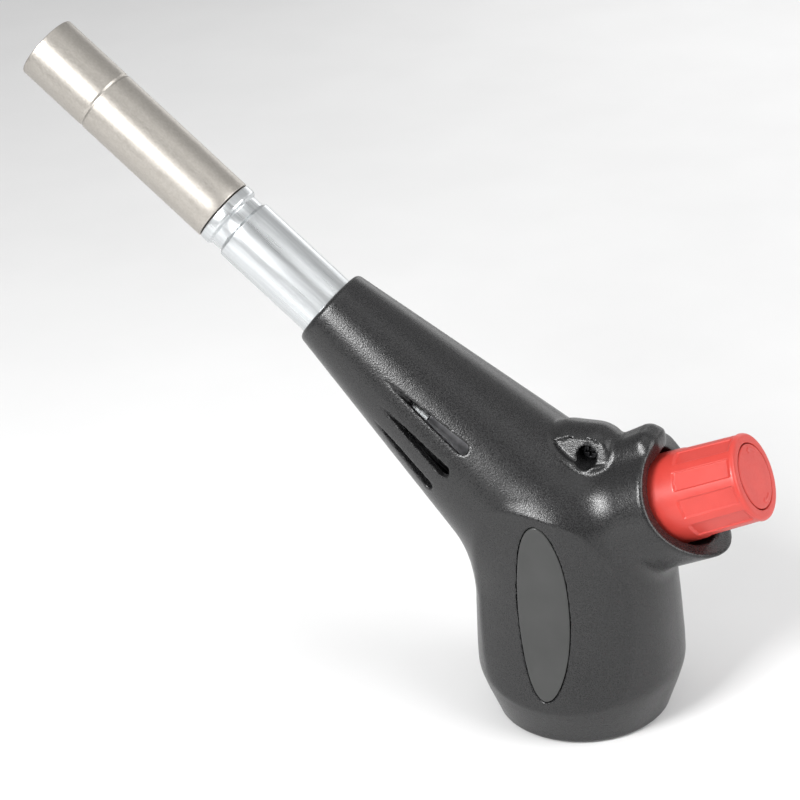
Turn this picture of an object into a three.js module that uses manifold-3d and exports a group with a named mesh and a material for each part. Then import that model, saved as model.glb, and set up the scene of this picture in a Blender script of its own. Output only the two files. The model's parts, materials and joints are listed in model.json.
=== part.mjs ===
// Gas torch head for a screw-on butane cartridge. Millimetres, +Z up.
// Origin: centre of the skirt's bottom rim. The burner tube leans towards -X, the knob towards +X,
// and the two housing halves meet on the plane Y = 0.
import * as THREE from "three";
import { mergeVertices } from "three/addons/utils/BufferGeometryUtils.js";
import Module from "manifold-3d";

const wasm = await Module();
wasm.setup();

// ---------------------------------------------------------------- driving dimensions
const GAP = 0.3; // clearance between pieces that touch
const WALL = 2.5; // housing wall
const CENTRE = new THREE.Vector3(-3, 0, 63); // where the tube axis and the knob axis meet
const TUBE_TILT = THREE.MathUtils.degToRad(42); // rise of the tube axis above the horizontal
const KNOB_TILT = THREE.MathUtils.degToRad(23); // rise of the knob axis above the horizontal

// skirt, a body of revolution about Z
const RIM_R = 27.9; // bottom rim
const SKIRT_R = 33.8; // widest place
const SKIRT_WIDE_Z = 20;
const WEB_Z = 34; // underside of the floor above the cartridge space
const WEB_T = 3;

// neck, a cone about the tube axis; distances along the axis start at CENTRE
const NECK_END = 104;
const NECK_R = 13.6;
const NECK_FLARE = 0.153; // growth of the radius per millimetre towards CENTRE
const NECK_RING = 7; // length of the snug bore at the neck's front

// collar round the knob, a cylinder about the knob axis
const COLLAR_R = 20.8;
const COLLAR_END = 58; // before the rim is trimmed
const COLLAR_BORE_R = 16.1;
const COLLAR_RIM = { at: 40.8, slope: -0.185, bow: 0.0153 }; // rim position over the height above the axis
const RIDGE = { r: 5.2, above: 19.6, halfSpacing: 2.4, from: 20, to: 45 }; // two soft ridges on top of the collar
const COLLAR_FLOOR = 22; // floor of the knob recess
const COLLAR_FLOOR_T = 3;

// rounded hump over the valve with the screw recess in its sides
const HUMP = { fromX: 1, toX: 9.5, z: 90.3, r: 11.2 };
// almond outline with its upper and lower bulge; the flat floor leans back towards the top
const EYE = { x: 9.1, z: 96.5, halfLength: 11.2, above: 2.7, below: 4.7, tilt: -0.105, floorY: 7.6, lean: 0.45 };
const EYE_FLOOR_Z = 95.5; // height at which the floor is floorY from the plane Y = 0
const SCREW = { x: 9, z: 93.9, headY: -2, tipY: 8 };
const SCREW_HEAD_R = 2.9;
const SCREW_SHANK_R = 1.4;
const BOSS_R = 5.2;

// dished grip panel in each side of the skirt: its distance from the plane Y = 0 grows downwards, and it bows
const GRIP = { topZ: 80, topY: 26.3, rise: 0.0188, power: 1.4, bowR: 37, fadeFromZ: 45 };
const HOLLOW = { depth: 1.7, halfWidth: 25, fromZ: 13, fullZ: 36, easeZ: 58, toZ: 82 }; // the panel's extra dishing

// inlay in the grip panel
const INLAY = { x: -1.4, z: 47, halfWidth: 8.8, halfHeight: 29.6, thickness: 1.2 };

// burner tube and flame tube
const BURNER_R = 10.85;
const BURNER_BORE_R = 9.85;
const BURNER_START = 46;
const GROOVE = { from: 141, to: 145.6, r: 9.8 };
const BURNER_END = 149.3;
const FLAME_R = 11;
const FLAME_BORE_R = 10.2;
const FLAME_END = 227.3;
const BEAD_AT = 201.7;
const HOLDER_AT = 195.7; // rear face of the flame holder
const AIR_PORT = { at: 66, r: 4.2, count: 4 };

// knob
const KNOB = { from: 34, to: 69, baseR: 14.7, endR: 13.8 };
const FLUTE = { count: 10, from: 48.3, to: 67.2, width: 6, depth: 0.65, phase: -4.3 }; // phase in degrees
const KNOB_CAP_R = 10.2;
const SPINDLE_R = 3.2;

// ---------------------------------------------------------------- colours and finishes
const finish = (color, roughness, metalness) => new THREE.MeshStandardMaterial({ color, roughness, metalness });
const blackPlastic = finish(0x2b2c2c, 0.55, 0);
const greyInlay = finish(0x4d4f4e, 0.35, 0);
const redPlastic = finish(0xe03c34, 0.4, 0);
const zinc = finish(0xd4d8dc, 0.25, 1);
const stainless = finish(0xb9b2a8, 0.35, 1);
const brass = finish(0xc9a24d, 0.35, 1);
const castMetal = finish(0xa9aaac, 0.5, 1);
const steel = finish(0x8f9295, 0.35, 1);
const rubber = finish(0x1d1d1d, 0.8, 0);
const sintered = finish(0x9c7a4a, 0.8, 1);

// ---------------------------------------------------------------- solids
// A closed three.js geometry as a solid that can be joined and cut.
function solid(geometry) {
  const bare = geometry.clone();
  bare.deleteAttribute("normal");
  bare.deleteAttribute("uv");
  const merged = mergeVertices(bare, 1e-4);
  const index = merged.index.array;
  const kept = [];
  for (let i = 0; i < index.length; i += 3) {
    const [a, b, c] = [index[i], index[i + 1], index[i + 2]];
    if (a !== b && b !== c && c !== a) kept.push(a, b, c);
  }
  const vertProperties = merged.attributes.position.array;
  return new wasm.Manifold(new wasm.Mesh({ numProp: 3, vertProperties, triVerts: new Uint32Array(kept) }));
}

const join = (first, ...others) => others.reduce((sum, next) => sum.add(next), first);
const cut = (first, ...others) => others.reduce((rest, next) => rest.subtract(next), first);

// A frame whose +Z runs along a direction in the XZ plane and whose +Y stays the world's +Y.
function axisFrame(directionX, directionZ) {
  const z = new THREE.Vector3(directionX, 0, directionZ).normalize();
  const y = new THREE.Vector3(0, 1, 0);
  const x = new THREE.Vector3().crossVectors(y, z);
  return new THREE.Matrix4().makeBasis(x, y, z).setPosition(CENTRE);
}
const tubeFrame = axisFrame(-Math.cos(TUBE_TILT), Math.sin(TUBE_TILT));
const knobFrame = axisFrame(Math.cos(KNOB_TILT), Math.sin(KNOB_TILT));
const upright = new THREE.Matrix4();

// A body of revolution about the frame's Z, from [radius, height] points that start and end on the axis
// or close on themselves.
function turned(points, frame = upright, segments = 20) {
  const profile = points.map(([r, z]) => new THREE.Vector2(r, z));
  const lathe = new THREE.LatheGeometry(profile, segments).rotateX(Math.PI / 2);
  return solid(lathe.applyMatrix4(frame));
}

const rod = (r, from, to, frame, segments = 20) =>
  turned([[0, from], [r, from], [r, to], [0, to]], frame, segments);

const ring = (outer, inner, from, to, frame, segments = 20) =>
  turned([[inner, from], [outer, from], [outer, to], [inner, to], [inner, from]], frame, segments);

// A straight pin along world Y, for screws and the holes and bosses they need.
function crossPin(r, x, z, fromY, toY, segments = 14) {
  const pin = new THREE.CylinderGeometry(r, r, toY - fromY, segments);
  return solid(pin.translate(x, (fromY + toY) / 2, z));
}

function block(minX, maxX, minY, maxY, minZ, maxZ) {
  const box = new THREE.BoxGeometry(maxX - minX, maxY - minY, maxZ - minZ);
  return solid(box.translate((minX + maxX) / 2, (minY + maxY) / 2, (minZ + maxZ) / 2));
}

// A prism along world Y from an outline drawn in X and Z.
function prismAlongY(outline, fromY, toY) {
  const prism = new THREE.ExtrudeGeometry(outline, { depth: toY - fromY, bevelEnabled: false, curveSegments: 11 });
  return solid(prism.rotateX(Math.PI / 2).translate(0, toY, 0));
}

// ---------------------------------------------------------------- housing
// Profile of the skirt and its domed top, drawn inside the outer face by `inset`.
function skirtProfile(inset, top = true) {
  const outer = [
    [RIM_R, 0], [29.6, 4.5], [31.8, 10.5], [33.5, 16], [SKIRT_R, SKIRT_WIDE_Z], [33.6, 30], [33, 42], [31.8, 54],
    [29.4, 64], [25.4, 74], [18.5, 82],
  ];
  const points = outer.map(([r, z]) => [r - inset, z]);
  points[0][1] = -(inset > 0 ? 1 : 0);
  if (top) points.push([0, 86 - inset]);
  return [[0, points[0][1]], ...points];
}

function neckCone(inset, from, to) {
  const radius = (s) => NECK_R + NECK_FLARE * (NECK_END - s) - inset;
  return turned([[0, from], [radius(from), from], [radius(to), to], [0, to]], tubeFrame, 36);
}

// A capsule with its length along an axis of a frame, from one height to another, end caps included.
function capsule(r, from, to, frame) {
  const geometry = new THREE.CapsuleGeometry(r, to - from - 2 * r, 5, 24).rotateX(Math.PI / 2);
  return solid(geometry.translate(0, 0, (from + to) / 2).applyMatrix4(frame));
}

function hump(inset) {
  const lengthwise = new THREE.Matrix4().makeRotationY(Math.PI / 2).setPosition(0, 0, HUMP.z);
  const r = HUMP.r - inset;
  return capsule(r, HUMP.fromX - r, HUMP.toX + r, lengthwise);
}

// The collar's rim stands further out below than above; this is the space beyond it.
function beyondCollarRim() {
  const outline = new THREE.Shape();
  const height = COLLAR_R + 5;
  const steps = 10;
  for (let i = 0; i <= steps; i++) {
    const h = height * ((2 * i) / steps - 1);
    const point = new THREE.Vector3(-h, 0, COLLAR_RIM.at + COLLAR_RIM.slope * h + COLLAR_RIM.bow * h * h);
    point.applyMatrix4(knobFrame);
    if (i === 0) outline.moveTo(point.x, point.z);
    else outline.lineTo(point.x, point.z);
  }
  for (const h of [height, -height]) {
    const corner = new THREE.Vector3(-h, 0, COLLAR_END + 15).applyMatrix4(knobFrame);
    outline.lineTo(corner.x, corner.z);
  }
  return prismAlongY(outline, -40, 40);
}

function collar(inset) {
  if (inset > 0) return rod(COLLAR_R - inset, -6, COLLAR_FLOOR - COLLAR_FLOOR_T, knobFrame, 36);
  const ridges = [-1, 1].map((side) => {
    const beside = new THREE.Matrix4().makeTranslation(-RIDGE.above, side * RIDGE.halfSpacing, 0);
    return capsule(RIDGE.r, RIDGE.from, RIDGE.to, knobFrame.clone().multiply(beside));
  });
  const trimmed = cut(rod(COLLAR_R, -6, COLLAR_END, knobFrame, 36), beyondCollarRim());
  return join(trimmed, ...ridges);
}

// How far the grip panel lies from the plane Y = 0; its bow fades out to the left of the axis, towards the neck.
function gripY(x, z) {
  const dish = GRIP.rise * Math.max(GRIP.topZ - z, 0) ** GRIP.power;
  const { smoothstep } = THREE.MathUtils;
  const fade = x < 0 ? 1 - smoothstep(z, GRIP.fadeFromZ, GRIP.topZ) : 1;
  const upwards = smoothstep(z, HOLLOW.fromZ, HOLLOW.fullZ) - smoothstep(z, HOLLOW.easeZ, HOLLOW.toZ);
  const across = Math.max(0, 1 - (x / HOLLOW.halfWidth) ** 2);
  return GRIP.topY + dish - (fade * x * x) / (2 * GRIP.bowR) - HOLLOW.depth * upwards * across;
}

// The space outside a surface in one side of the housing, or outside the surface set back by `inset`.
// surfaceY(x, z) is the surface's distance from the plane Y = 0; `window` bounds it in X and Z.
function beyondSurface(surfaceY, window, side, inset) {
  const { minX, maxX, minZ, maxZ, step } = window;
  const outsideY = 60;
  const across = Math.ceil((maxX - minX) / step);
  const upwards = Math.ceil((maxZ - minZ) / step);
  const slab = new THREE.BoxGeometry(maxX - minX, outsideY, maxZ - minZ, across, 1, upwards);
  slab.translate((minX + maxX) / 2, outsideY / 2, (minZ + maxZ) / 2);
  const position = slab.attributes.position;
  for (let i = 0; i < position.count; i++) {
    if (position.getY(i) < 1) position.setY(i, surfaceY(position.getX(i), position.getZ(i)) - inset);
  }
  const space = solid(slab);
  return side < 0 ? space.mirror([0, 1, 0]) : space;
}

const GRIP_WINDOW = { minX: -36, maxX: 30, minZ: 8, maxZ: 90, step: 5 };
const beyondGrip = (side, inset) => beyondSurface(gripY, GRIP_WINDOW, side, inset);

const EYE_WINDOW = { minX: -12, maxX: 30, minZ: 84, maxZ: 108, step: 42 };
const eyeFloorY = (x, z) => EYE.floorY - EYE.lean * (z - EYE_FLOOR_Z);
const beyondEyeFloor = (side, inset) => beyondSurface(eyeFloorY, EYE_WINDOW, side, inset);

// The housing's outer form, or the same form set back by `inset`.
function housingForm(inset) {
  const neckEnd = inset > 0 ? NECK_END - NECK_RING : NECK_END;
  const bell = join(turned(skirtProfile(inset), upright, 40), neckCone(inset, 2, neckEnd));
  return join(cut(bell, beyondGrip(-1, inset), beyondGrip(1, inset)), collar(inset), hump(inset));
}

// Outline of the almond recess round the screw: two arcs that meet in points.
function eyeOutline(grow = 0) {
  const { x, z, tilt } = EYE;
  const l = EYE.halfLength + grow;
  const shape = new THREE.Shape();
  const steps = 7;
  for (let side = 0; side < 2; side++) {
    for (let i = 0; i < steps; i++) {
      const t = (i / steps) * 2 - 1;
      const along = side ? -t * l : t * l;
      const bulge = side ? -(EYE.below + grow) : EYE.above + grow;
      const across = bulge * (1 - t * t);
      const px = x + along * Math.cos(tilt) - across * Math.sin(tilt);
      const pz = z + along * Math.sin(tilt) + across * Math.cos(tilt);
      if (side === 0 && i === 0) shape.moveTo(px, pz);
      else shape.lineTo(px, pz);
    }
  }
  return shape;
}

// The recess round the screw in one side; `grow` makes the larger space that its wall fills.
function eyeSpace(side, grow = 0) {
  const [fromY, toY] = side < 0 ? [-59, -1] : [1, 59];
  return prismAlongY(eyeOutline(grow), fromY, toY).intersect(beyondEyeFloor(side, grow));
}

function inlayOutline(grow) {
  const shape = new THREE.Shape();
  shape.absellipse(INLAY.x, INLAY.z, INLAY.halfWidth + grow, INLAY.halfHeight + grow, 0, Math.PI * 2);
  return shape;
}

// What lies over the inlay's seat in one grip panel; `grow` makes the pocket that it drops into.
function inlaySpace(side, grow) {
  const [fromY, toY] = side < 0 ? [-59, -1] : [1, 59];
  return prismAlongY(inlayOutline(grow), fromY, toY).intersect(beyondGrip(side, INLAY.thickness + grow));
}

// An air slot through the neck wall: a capsule along the tube axis at an angle round it.
function airSlot(from, to, width, angle) {
  const capsule = new THREE.CapsuleGeometry(width / 2, to - from - width, 3, 10);
  capsule.rotateX(Math.PI / 2).scale(1, 2.6, 1).translate(0, -20, (from + to) / 2).rotateZ(angle);
  return solid(capsule.applyMatrix4(tubeFrame));
}

const AIR_SLOTS = [
  { from: 42, to: 58, width: 5, angle: -0.02 },
  { from: 44, to: 59, width: 4.6, angle: 0.38 },
  { from: 46, to: 61, width: 4.2, angle: 0.76 },
];

function housing() {
  const outer = housingForm(0);
  const webTop = WEB_Z + WEB_T;
  const cartridgeSpace = cut(turned(skirtProfile(WALL, false).concat([[0, 82]]), upright, 40),
    block(-60, 60, -60, 60, WEB_Z, 120), beyondGrip(-1, WALL), beyondGrip(1, WALL));
  const knobCup = rod(COLLAR_BORE_R + WALL, COLLAR_FLOOR - COLLAR_FLOOR_T, COLLAR_END, knobFrame, 36);
  const chamber = cut(housingForm(WALL), block(-60, 60, -60, 60, -20, webTop), knobCup);
  const boss = crossPin(BOSS_R, SCREW.x, SCREW.z, -EYE.floorY, EYE.floorY);
  const backing = join(boss, eyeSpace(-1, WALL), eyeSpace(1, WALL)).intersect(outer);
  let body = join(cut(outer, cartridgeSpace, chamber), backing);
  body = cut(
    body,
    rod(BURNER_R + GAP, 90, NECK_END + 5, tubeFrame, 28),
    rod(COLLAR_BORE_R, COLLAR_FLOOR, COLLAR_END + 5, knobFrame, 36),
    rod(9, 10, COLLAR_END, knobFrame),
    rod(9.8, WEB_Z - 5, WEB_Z + WEB_T + 5, upright),
    eyeSpace(-1),
    eyeSpace(1),
  );
  for (const side of [-1, 1]) {
    body = body.subtract(inlaySpace(side, GAP));
    for (const slot of AIR_SLOTS) {
      const cutter = airSlot(slot.from, slot.to, slot.width, slot.angle);
      body = body.subtract(side < 0 ? cutter : cutter.mirror([0, 1, 0]));
    }
  }
  // head and clearance in the left half, pilot in the right half
  return cut(
    body,
    crossPin(SCREW_HEAD_R + 0.4, SCREW.x, SCREW.z, -30, SCREW.headY),
    crossPin(SCREW_SHANK_R + GAP, SCREW.x, SCREW.z, -6, SCREW.tipY + GAP),
  );
}

// One half of the housing, without the specks that grazing cuts leave.
function half(whole, side) {
  const space = side < 0 ? block(-300, 300, -100, -GAP / 2, -100, 400) : block(-300, 300, GAP / 2, 100, -100, 400);
  const bodies = whole.intersect(space).decompose();
  return bodies.reduce((largest, next) => (next.volume() > largest.volume() ? next : largest));
}

const inlay = (side) => inlaySpace(side, 0).intersect(housingForm(0));

function housingScrew() {
  const { x, z, headY, tipY } = SCREW;
  return join(
    crossPin(SCREW_HEAD_R, x, z, headY - 2.4, headY - GAP),
    crossPin(SCREW_SHANK_R, x, z, headY - 0.5, tipY),
  );
}

// ---------------------------------------------------------------- valve and gas inlet
function valveBody() {
  const outer = join(
    rod(9, -8, 14, knobFrame),
    rod(7.5, 0, 16, tubeFrame),
    rod(8, 40, CENTRE.z, new THREE.Matrix4().makeTranslation(CENTRE.x, 0, 0)),
    rod(8.6, 40, 46, upright),
  );
  return cut(
    outer,
    rod(1, -1, 4, knobFrame, 12), // seat
    rod(4.2, 3, 9, knobFrame),
    rod(5.5, 8.7, 15, knobFrame), // gland thread
    rod(1, -2, 9, tubeFrame, 12), // outlet passage
    rod(3.5, 8, 17, tubeFrame),
    rod(1, 48, CENTRE.z, new THREE.Matrix4().makeTranslation(CENTRE.x, 0, 0), 12), // inlet passage
    rod(2.3, 46.5, 50.5, new THREE.Matrix4().makeTranslation(CENTRE.x * 0.5, 0, 0), 16),
    rod(5.3, 39, 47, upright),
  );
}

const cartridgeConnector = () =>
  turned([[5.5, 16], [9, 16], [9, 34], [9.5, 34], [9.5, 39.7], [5, 39.7], [5, 45.7], [2.2, 45.7], [2.2, 34],
    [5.5, 34], [5.5, 16]], upright, 32);
const connectorSeal = () => ring(5.2, 2.5, 31.2, 33.7, upright);
const depressorPin = () =>
  turned([[0, 25], [0.9, 25], [1.1, 26], [1.1, 35], [1.8, 35], [1.8, 37], [0, 37]], upright, 16);
const gasFilter = () => rod(2, 46.9, 50, new THREE.Matrix4().makeTranslation(CENTRE.x * 0.5, 0, 0), 16);

function valveSpindle() {
  const body = turned([[0, 1.4], [0.5, 1.7], [0.8, 3.6], [2.2, 5], [3.9, 5.4], [3.9, 11.8], [2.5, 11.8], [2.5, 14.2],
    [3.9, 14.2], [3.9, 15.5], [SPINDLE_R, 15.5], [SPINDLE_R, 50.3], [0, 50.3]], knobFrame);
  return body.subtract(rod(1.8, 43, 51, knobFrame, 16));
}

function spindleORing() {
  const torus = new THREE.TorusGeometry(3.55, 0.7, 8, 20).translate(0, 0, 13);
  return solid(torus.applyMatrix4(knobFrame));
}

function glandNut() {
  const spigot = rod(5.2, 9.4, 14.4, knobFrame);
  const hexagon = turned([[0, 14.3], [7.6, 14.3], [7.6, 20], [0, 20]], knobFrame, 6);
  return cut(join(hexagon, spigot), rod(4.6, 9, 17, knobFrame), rod(SPINDLE_R + GAP, 16, 21, knobFrame));
}

// ---------------------------------------------------------------- jet and burner
function feedPipe() {
  const hexagon = turned([[0, 16.3], [6, 16.3], [6, 21], [0, 21]], tubeFrame, 6);
  const outer = join(rod(3.2, 8.4, 16.5, tubeFrame), hexagon, rod(4, 20.9, 44, tubeFrame));
  return cut(outer, rod(1.4, 8, 40, tubeFrame, 12), rod(2.6, 38, 45, tubeFrame, 16));
}

const gasJet = () =>
  turned([[0.9, 38.3], [2.3, 38.3], [2.3, 44.3], [3.6, 44.3], [3.6, 47], [1.6, 48.6], [0.35, 48.6], [0.35, 46.5],
    [0.9, 46], [0.9, 38.3]], tubeFrame, 14);

// Sleeve on the valve outlet, two arms with open sides for the air, and the ring that holds the burner tube.
function burnerSocket() {
  const snug = BURNER_R + GAP;
  const body = turned([
    [7.8, 12.2], [9.6, 12.2], [9.6, 22], [12.6, 22], [12.6, 56], [snug, 56], [snug, BURNER_START - GAP],
    [8.4, BURNER_START - GAP], [8.4, 42.5], [10.6, 42.5], [10.6, 25], [6.6, 25], [6.6, 22], [7.8, 22], [7.8, 12.2],
  ], tubeFrame, 28);
  const window = new THREE.BoxGeometry(40, 13, 15).translate(0, 0, 33.8).applyMatrix4(tubeFrame);
  return body.subtract(solid(window));
}

function burnerTube() {
  const { from, to, r } = GROOVE;
  const wall = BURNER_R - BURNER_BORE_R;
  const tube = turned([
    [BURNER_BORE_R, BURNER_START], [BURNER_R, BURNER_START], [BURNER_R, from - 0.4], [r, from + 0.4], [r, to - 0.4],
    [BURNER_R, to + 0.2], [BURNER_R + 0.15, to + 1], [BURNER_R + 0.15, BURNER_END], [BURNER_BORE_R, BURNER_END],
    [BURNER_BORE_R, to], [r - wall, to - 0.4 - wall], [r - wall, from + 0.4 + wall], [BURNER_BORE_R, from],
    [BURNER_BORE_R, BURNER_START],
  ], tubeFrame, 28);
  const ports = [];
  for (let i = 0; i < AIR_PORT.count; i++) {
    const port = new THREE.CylinderGeometry(AIR_PORT.r, AIR_PORT.r, 8, 12).translate(0, BURNER_R, AIR_PORT.at);
    ports.push(solid(port.rotateZ(((i + 0.5) / AIR_PORT.count) * Math.PI * 2).applyMatrix4(tubeFrame)));
  }
  return cut(tube, ...ports);
}

const mixingVenturi = () =>
  turned([[9.2, 78], [9.5, 78], [9.5, 112], [9.2, 112], [5, 96], [4.6, 91], [5.4, 86], [9.2, 78]], tubeFrame, 20);

// The flame tube's reduced rear end sits inside the burner tube; the rolled bead near the mouth holds the head.
function flameTube() {
  const spigotR = 8.5;
  const rear = BURNER_END - 10.4;
  const bead = 0.4;
  return turned([
    [spigotR - 0.9, rear], [spigotR, rear], [spigotR, BURNER_END - 1.9], [9.5, BURNER_END - 1.2],
    [9.5, BURNER_END + GAP],
    [FLAME_R, BURNER_END + GAP + 0.1], [FLAME_R, BEAD_AT - 0.8], [FLAME_R - bead, BEAD_AT - 0.3],
    [FLAME_R - bead, BEAD_AT + 0.3], [FLAME_R, BEAD_AT + 0.8], [FLAME_R, FLAME_END - 0.4],
    [FLAME_R - 0.3, FLAME_END], [FLAME_BORE_R, FLAME_END], [FLAME_BORE_R, BURNER_END + 2],
    [spigotR - 0.9, BURNER_END - 1], [spigotR - 0.9, rear],
  ], tubeFrame, 28);
}

function flameHolder() {
  const profile = [[0, 0], [9.8, 0], [9.8, 11], [7.5, 11], [7.5, 6], [0, 6]];
  const disc = turned(profile.map(([r, z]) => [r, z + HOLDER_AT]), tubeFrame, 24);
  const holes = [rod(1.8, HOLDER_AT - 1, HOLDER_AT + 12, tubeFrame, 10)];
  const rings = [{ r: 4.1, count: 6, size: 1 }, { r: 7, count: 10, size: 0.9 }];
  for (const { r, count, size } of rings) {
    for (let i = 0; i < count; i++) {
      const angle = (i / count) * Math.PI * 2;
      const hole = new THREE.CylinderGeometry(size, size, 16, 6).rotateX(Math.PI / 2);
      hole.translate(r * Math.cos(angle), r * Math.sin(angle), HOLDER_AT + 4);
      holes.push(solid(hole.applyMatrix4(tubeFrame)));
    }
  }
  return cut(disc, ...holes);
}

// ---------------------------------------------------------------- knob
function knob() {
  const { from, to, baseR, endR } = KNOB;
  const skin = turned([[0, from], [baseR - 0.6, from], [baseR, from + 1], [endR + 0.2, to - 1], [endR - 0.8, to],
    [0, to]], knobFrame, 40);
  const grooves = [];
  const middle = (FLUTE.from + FLUTE.to) / 2;
  const radius = THREE.MathUtils.mapLinear(middle, from, to, baseR, endR);
  for (let i = 0; i < FLUTE.count; i++) {
    const groove = new THREE.BoxGeometry(FLUTE.width, 2, FLUTE.to - FLUTE.from);
    groove.translate(0, radius + 1 - FLUTE.depth, middle);
    const angle = (i / FLUTE.count) * 360 + FLUTE.phase;
    grooves.push(solid(groove.rotateZ(THREE.MathUtils.degToRad(angle)).applyMatrix4(knobFrame)));
  }
  const hollow = cut(rod(12.2, from - 1, to - 5.5, knobFrame, 24), rod(5.6, from - 2, to, knobFrame));
  return cut(skin, ...grooves, hollow,
    rod(SPINDLE_R + GAP, from - 1, 50.6, knobFrame), rod(1.9, 50, 56, knobFrame, 16),
    rod(3.6, 54, to + 1, knobFrame), rod(KNOB_CAP_R + GAP, to - 2.4, to + 1, knobFrame, 28));
}

const knobCap = () => rod(KNOB_CAP_R, KNOB.to - 2.1, KNOB.to + 0.1, knobFrame, 28);
const knobScrew = () =>
  turned([[0, 44], [1.5, 44], [1.5, 54.3], [3, 54.3], [3, 56.6], [0, 56.6]], knobFrame, 16);

// ---------------------------------------------------------------- assembly
const torch = new THREE.Group();

function addPiece(name, piece, material) {
  const { vertProperties, triVerts } = piece.getMesh();
  const geometry = new THREE.BufferGeometry();
  geometry.setAttribute("position", new THREE.BufferAttribute(vertProperties, 3));
  geometry.setIndex(new THREE.BufferAttribute(triVerts, 1));
  geometry.computeVertexNormals();
  const mesh = new THREE.Mesh(geometry, material);
  mesh.name = name;
  torch.add(mesh);
}

const shell = housing();
addPiece("housing_left", half(shell, -1), blackPlastic);
addPiece("housing_right", half(shell, 1), blackPlastic);
addPiece("label_inlay_left", inlay(-1), greyInlay);
addPiece("label_inlay_right", inlay(1), greyInlay);
addPiece("housing_screw", housingScrew(), steel);
addPiece("valve_body", valveBody(), castMetal);
addPiece("cartridge_connector", cartridgeConnector(), brass);
addPiece("connector_seal", connectorSeal(), rubber);
addPiece("depressor_pin", depressorPin(), brass);
addPiece("gas_filter", gasFilter(), sintered);
addPiece("valve_spindle", valveSpindle(), brass);
addPiece("spindle_o_ring", spindleORing(), rubber);
addPiece("gland_nut", glandNut(), brass);
addPiece("feed_pipe", feedPipe(), brass);
addPiece("gas_jet", gasJet(), brass);
addPiece("burner_socket", burnerSocket(), castMetal);
addPiece("burner_tube", burnerTube(), zinc);
addPiece("mixing_venturi", mixingVenturi(), castMetal);
addPiece("flame_tube", flameTube(), stainless);
addPiece("flame_holder", flameHolder(), brass);
addPiece("knob", knob(), redPlastic);
addPiece("knob_cap", knobCap(), redPlastic);
addPiece("knob_screw", knobScrew(), steel);

export default torch;
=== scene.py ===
"""Looks of a gas torch head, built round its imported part.

Lengths are in millimetres in the part's frame until add_mesh() turns them into metres: +Z up the cartridge
axis, the burner tube towards -X, the valve knob towards +X, and the housing's parting plane at Y = 0.
"""

import json
import math
from functools import partial
from itertools import product

import bmesh
import bpy
import numpy as np
from mathutils import Matrix, Vector


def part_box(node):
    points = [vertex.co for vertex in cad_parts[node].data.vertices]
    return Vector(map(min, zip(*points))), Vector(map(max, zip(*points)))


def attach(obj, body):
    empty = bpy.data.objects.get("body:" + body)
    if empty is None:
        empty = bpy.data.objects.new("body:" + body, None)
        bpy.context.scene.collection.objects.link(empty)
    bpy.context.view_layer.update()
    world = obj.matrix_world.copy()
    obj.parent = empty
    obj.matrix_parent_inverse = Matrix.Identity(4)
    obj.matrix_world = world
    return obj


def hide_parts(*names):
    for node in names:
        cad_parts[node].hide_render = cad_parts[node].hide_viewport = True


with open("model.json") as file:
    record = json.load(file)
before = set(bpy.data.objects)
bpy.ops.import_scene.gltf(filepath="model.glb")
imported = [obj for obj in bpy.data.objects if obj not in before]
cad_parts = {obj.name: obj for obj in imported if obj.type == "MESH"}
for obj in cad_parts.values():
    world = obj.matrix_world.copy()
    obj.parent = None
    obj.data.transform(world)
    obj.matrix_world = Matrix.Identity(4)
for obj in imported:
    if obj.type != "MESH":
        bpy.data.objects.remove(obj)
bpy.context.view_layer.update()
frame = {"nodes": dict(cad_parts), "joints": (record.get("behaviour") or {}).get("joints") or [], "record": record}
MM = 0.001


# ---------------------------------------------------------------- what the frame says
def points(node):
    """A CAD node's vertices, in millimetres."""
    mesh = frame["nodes"][node].data
    co = np.empty(len(mesh.vertices) * 3, np.float32)
    mesh.vertices.foreach_get("co", co)
    return co.reshape(-1, 3).astype(float) / MM


def unit(v):
    return np.asarray(v, float) / np.linalg.norm(v)


turn = next(joint for joint in frame["joints"] if joint["name"] == "knob_turn")
CENTRE = np.array(turn["pos_m"]) / MM
KNOB_AXIS = unit(turn["axis"])
TUBE_AXIS = unit(points("flame_tube").mean(0) - CENTRE)
ACROSS = np.array([0.0, 1.0, 0.0])
KNOB_UP = np.cross(KNOB_AXIS, ACROSS)
TUBE_UP = np.cross(ACROSS, TUBE_AXIS)


def along(node, axis):
    """Where a node starts and ends along an axis through CENTRE, and its largest distance from it."""
    v = points(node) - CENTRE
    s = v @ axis
    return s.min(), s.max(), np.linalg.norm(v - np.outer(s, axis), axis=1).max()


# ---------------------------------------------------------------- distances to simple forms
def soft_min(a, b, k):
    """The smaller of two distances, with the change from one to the other rounded over k."""
    h = np.clip(0.5 + 0.5 * (b - a) / k, 0, 1)
    return b + (a - b) * h - k * h * (1 - h)


def soft_max(a, b, k):
    return -soft_min(-a, -b, k)


def smoothstep(x, start, end):
    t = np.clip((x - start) / (end - start), 0, 1)
    return t * t * (3 - 2 * t)


def smooth_profile(corners):
    """Heights, radii and slopes of a smooth curve through (height, radius) corners."""
    step = 0.25
    x, y = np.array(corners, float).T
    h = np.diff(x)
    d = np.diff(y) / h
    m = np.concatenate([d[:1], (d[:-1] * h[1:] + d[1:] * h[:-1]) / (h[:-1] + h[1:]), d[-1:]])
    xs = np.arange(x[0], x[-1] + step, step)
    i = np.clip(np.searchsorted(x, xs) - 1, 0, len(h) - 1)
    t = (xs - x[i]) / h[i]
    ys = (2 * t**3 - 3 * t**2 + 1) * y[i] + (t**3 - 2 * t**2 + t) * h[i] * m[i]
    ys += (3 * t**2 - 2 * t**3) * y[i + 1] + (t**3 - t**2) * h[i] * m[i + 1]
    return xs, ys, np.gradient(ys, xs)


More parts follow.
